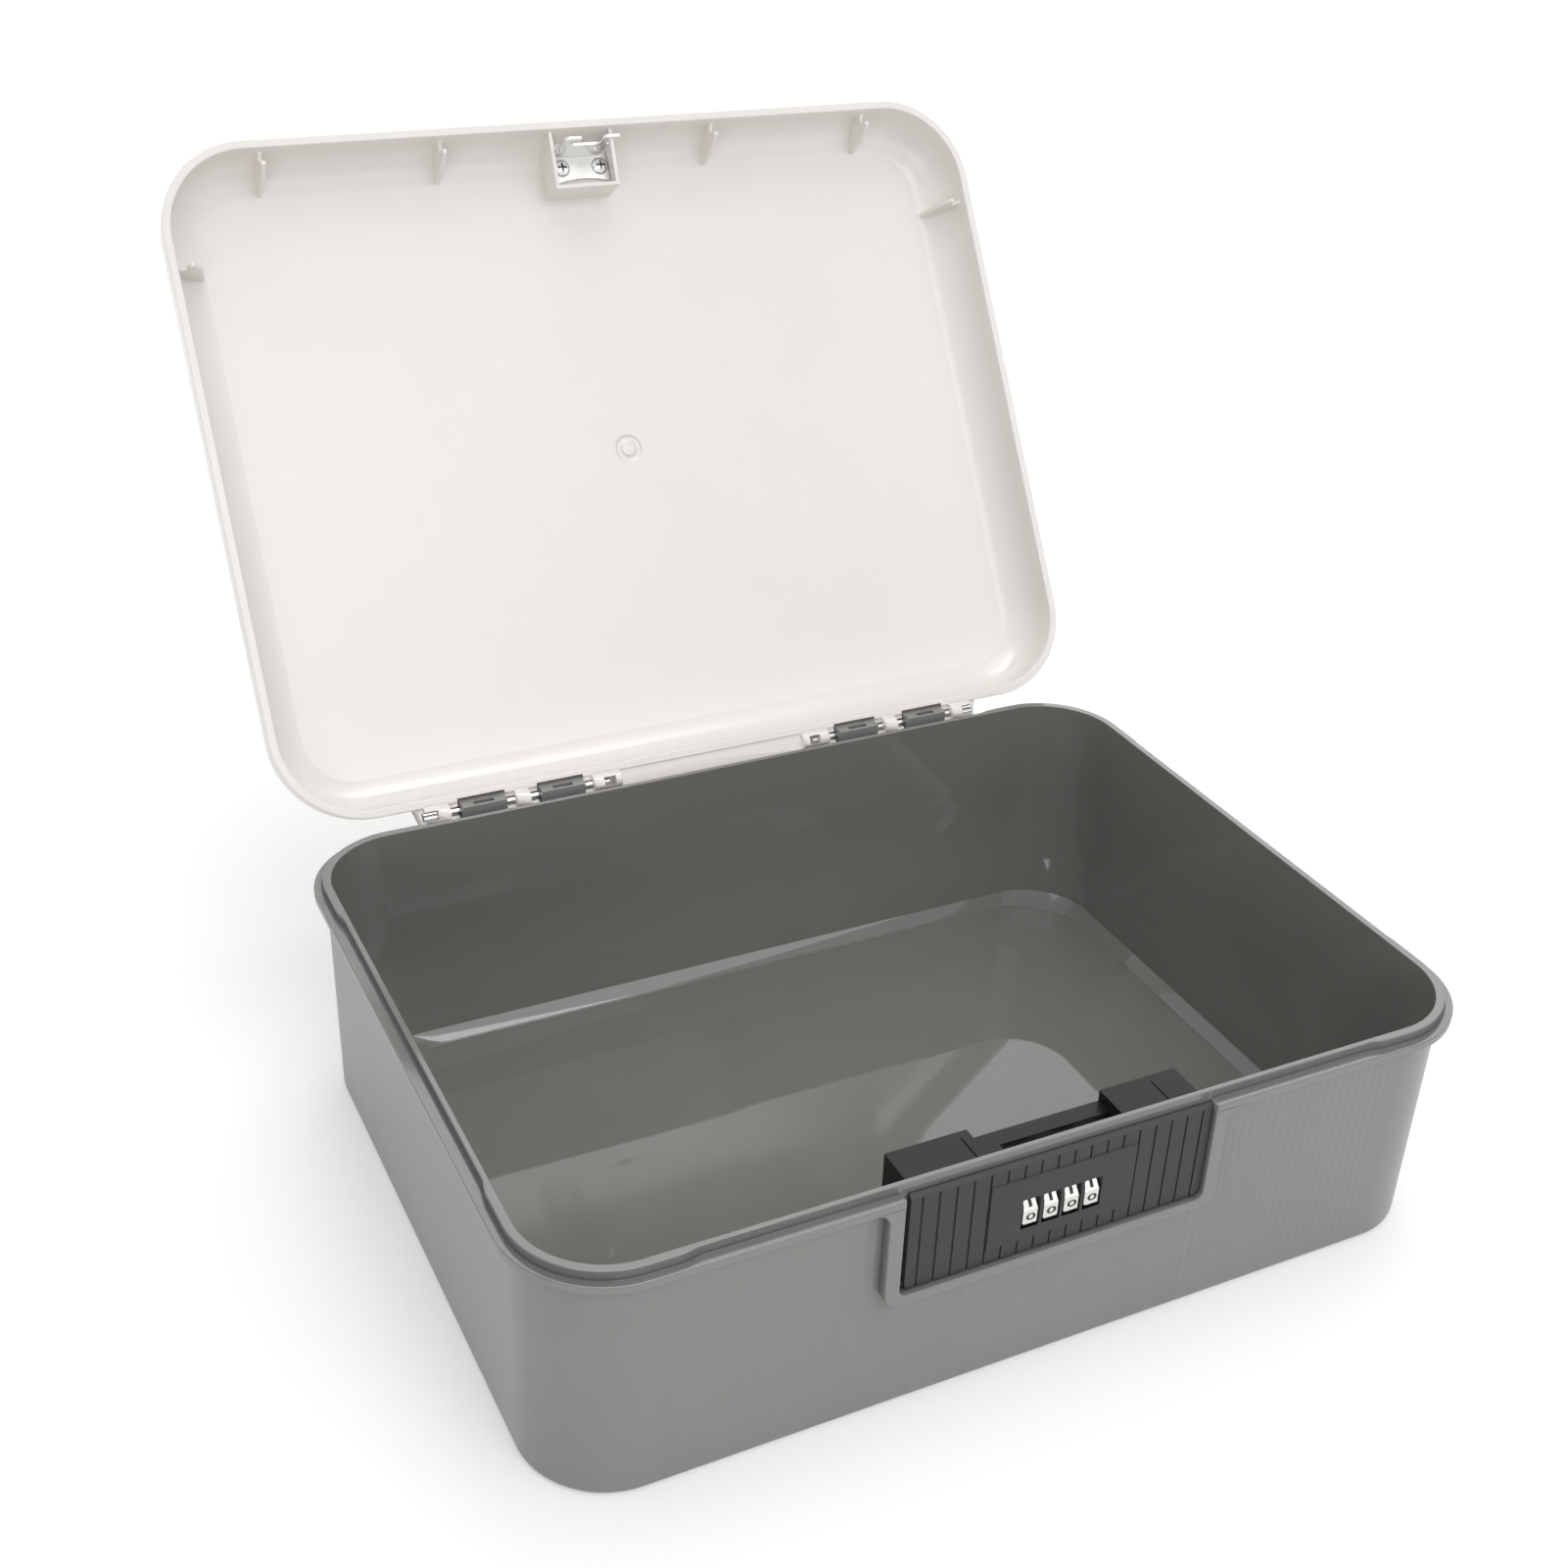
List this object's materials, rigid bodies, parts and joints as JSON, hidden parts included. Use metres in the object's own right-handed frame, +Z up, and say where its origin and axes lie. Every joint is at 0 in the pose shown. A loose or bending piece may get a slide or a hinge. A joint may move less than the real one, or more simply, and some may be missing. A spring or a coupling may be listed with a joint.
{
  "type": "medication lock box",
  "caption": "Portable lock box: grey moulded tub, white hinged lid standing open, and a black sliding lock face with numbered dials in its front wall.",
  "frame": {"origin": "centre of the tub's underside", "axes": "+X to the right of the lock, +Y towards the hinge at the back, +Z up; the lid is stored open at its stop"},
  "size_m": [0.3536, 0.4303, 0.3209],
  "materials": {
    "grey_plastic": "satin moulded polypropylene",
    "white_plastic": "smooth satin moulded plastic",
    "black_plastic": "satin moulded plastic",
    "bright_dial": "bright plated, with dark digits",
    "zinc_plated_steel": "bright zinc plate"
  },
  "bodies": {
    "tub": {"tub_shell": "grey_plastic", "lock_housing": "black_plastic", "housing_screw_1": "zinc_plated_steel", "housing_screw_2": "zinc_plated_steel", "housing_screw_3": "zinc_plated_steel", "housing_screw_4": "zinc_plated_steel"},
    "slider": {"lock_face": "black_plastic", "latch_strip": "zinc_plated_steel", "latch_screw_right": "zinc_plated_steel", "latch_screw_left": "zinc_plated_steel", "dial_shaft": "zinc_plated_steel", "shaft_clip_right": "zinc_plated_steel", "shaft_clip_left": "zinc_plated_steel", "detent_comb": "zinc_plated_steel"},
    "dial_1": {"dial_1": "bright_dial"},
    "dial_2": {"dial_2": "bright_dial"},
    "dial_3": {"dial_3": "bright_dial"},
    "dial_4": {"dial_4": "bright_dial"},
    "lid": {"lid_shell": "white_plastic", "hinge_pin_right": "zinc_plated_steel", "hinge_pin_left": "zinc_plated_steel", "strike_plate": "zinc_plated_steel", "strike_screw_right": "zinc_plated_steel", "strike_screw_left": "zinc_plated_steel"}
  },
  "joints": [
    {"name": "lid_hinge", "type": "hinge", "parent": "tub", "child": "lid", "pos_m": [0, 0.1371, 0.0916], "axis": [1, 0, 0], "range_deg": [0, 122.3]},
    {"name": "lock_slide", "type": "slide", "parent": "tub", "child": "slider", "axis": [1, 0, 0], "range_m": [-0.0022, 0]},
    {"name": "dial_1_spin", "type": "hinge", "parent": "slider", "child": "dial_1", "pos_m": [-0.01045, -0.1239, 0.0668], "axis": [1, 0, 0], "continuous": true},
    {"name": "dial_2_spin", "type": "hinge", "parent": "slider", "child": "dial_2", "pos_m": [-0.00275, -0.1239, 0.0668], "axis": [1, 0, 0], "continuous": true},
    {"name": "dial_3_spin", "type": "hinge", "parent": "slider", "child": "dial_3", "pos_m": [0.00495, -0.1239, 0.0668], "axis": [1, 0, 0], "continuous": true},
    {"name": "dial_4_spin", "type": "hinge", "parent": "slider", "child": "dial_4", "pos_m": [0.01265, -0.1239, 0.0668], "axis": [1, 0, 0], "continuous": true}
  ]
}
